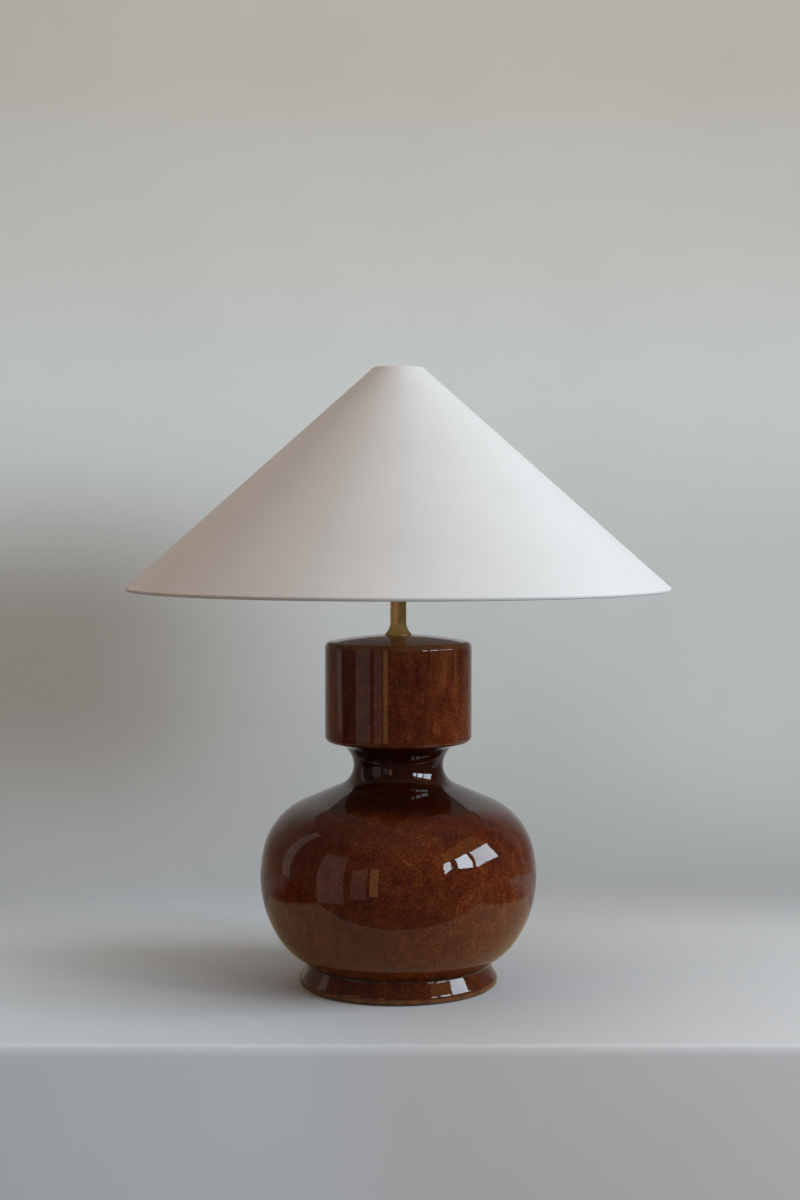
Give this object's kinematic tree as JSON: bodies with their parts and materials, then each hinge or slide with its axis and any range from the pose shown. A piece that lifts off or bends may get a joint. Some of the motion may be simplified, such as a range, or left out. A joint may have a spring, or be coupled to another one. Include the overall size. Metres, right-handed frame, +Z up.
{
  "type": "table lamp",
  "caption": "Table lamp with a hollow glazed ceramic base, a brass stem and screw lamp holder, and a wide conical fabric shade on a wire frame.",
  "frame": {"origin": "on the lamp's axis at the underside of its felt pad, which stands on the table", "axes": "+Z up along the lamp's axis, -Y towards the viewer, +Y towards the cord notch at the back of the foot"},
  "size_m": [0.45, 0.4499, 0.515],
  "materials": {
    "glaze": "gloss",
    "felt": "matte",
    "zinc_steel": "satin",
    "black_rubber": "matte",
    "black_plastic": "satin",
    "aged_brass": "satin",
    "bright_brass": "satin",
    "white_porcelain": "gloss",
    "opal_glass": "satin",
    "nickel": "satin",
    "black_glass": "gloss",
    "ivory_fabric": "matte",
    "white_liner": "matte",
    "white_wire": "satin"
  },
  "bodies": {
    "base": {"ceramic_base": "glaze", "felt_pad": "felt", "threaded_rod": "zinc_steel", "rubber_washer": "black_rubber", "steel_washer": "zinc_steel", "lock_washer": "zinc_steel", "hex_nut": "zinc_steel", "rod_bushing": "black_plastic", "stem": "aged_brass", "stem_seal": "black_rubber", "holder_cap": "aged_brass", "cap_lock_screw": "zinc_steel", "holder_skirt": "aged_brass", "holder_insulator": "white_porcelain", "screw_shell": "bright_brass", "centre_contact": "bright_brass", "terminal_screws": "bright_brass", "lower_shade_ring": "aged_brass", "upper_shade_ring": "aged_brass"},
    "shade": {"shade_cover": "ivory_fabric", "shade_liner": "white_liner", "top_ring": "white_wire", "bottom_ring": "white_wire", "fitter_ring": "white_wire", "fitter_arms": "white_wire"},
    "switch": {"switch_bar": "black_plastic"},
    "bulb_tip": {"bulb_contact": "nickel"},
    "bulb": {"bulb_globe": "opal_glass", "bulb_cap": "nickel", "bulb_cone": "black_glass"}
  },
  "joints": [
    {"name": "shade_turn", "type": "hinge", "parent": "base", "child": "shade", "pos_m": [0, 0, 0.367], "axis": [0, 0, 1], "continuous": true},
    {"name": "switch_push", "type": "slide", "parent": "base", "child": "switch", "axis": [1, 0, 0], "range_m": [0, 0.006]},
    {"name": "bulb_rise", "type": "slide", "parent": "base", "child": "bulb_tip", "axis": [0, 0, 1], "range_m": [0, 0.0218]},
    {"name": "bulb_turn", "type": "hinge", "parent": "bulb_tip", "child": "bulb", "pos_m": [0, 0, 0.3645], "axis": [0, 0, 1], "range_deg": [0, 2160]}
  ],
  "couplings": [
    {"joint": "bulb_rise", "follows": "bulb_turn", "m_per_rad": 0.00057757}
  ]
}
